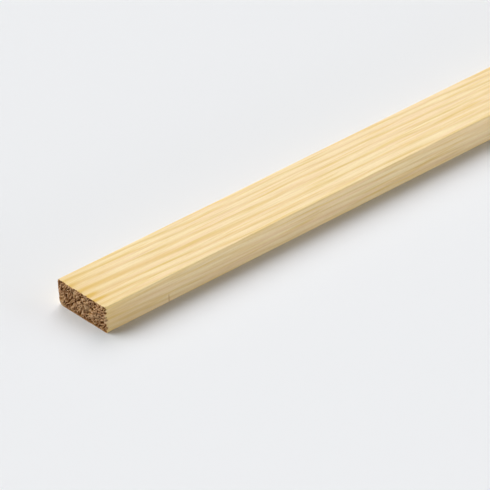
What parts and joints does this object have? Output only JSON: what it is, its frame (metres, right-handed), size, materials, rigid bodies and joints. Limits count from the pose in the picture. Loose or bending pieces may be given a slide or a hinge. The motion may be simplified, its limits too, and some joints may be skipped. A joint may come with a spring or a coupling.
{
  "type": "wood trim strip",
  "caption": "Planed pine trim strip of flat rectangular section with lightly eased long edges and square sawn ends, glued or nailed on its back face as cover trim, edging or batten.",
  "frame": {"origin": "centre of the back face, midway between the two sawn ends", "axes": "+X along the strip, +Y across its width, +Z out of the show face; the end at -X is the one in the picture"},
  "size_m": [1, 0.025, 0.01],
  "materials": {
    "pine": "planed long faces, rough sawn ends, no varnish"
  },
  "bodies": {
    "root": {"trim_strip": "pine"}
  },
  "joints": []
}
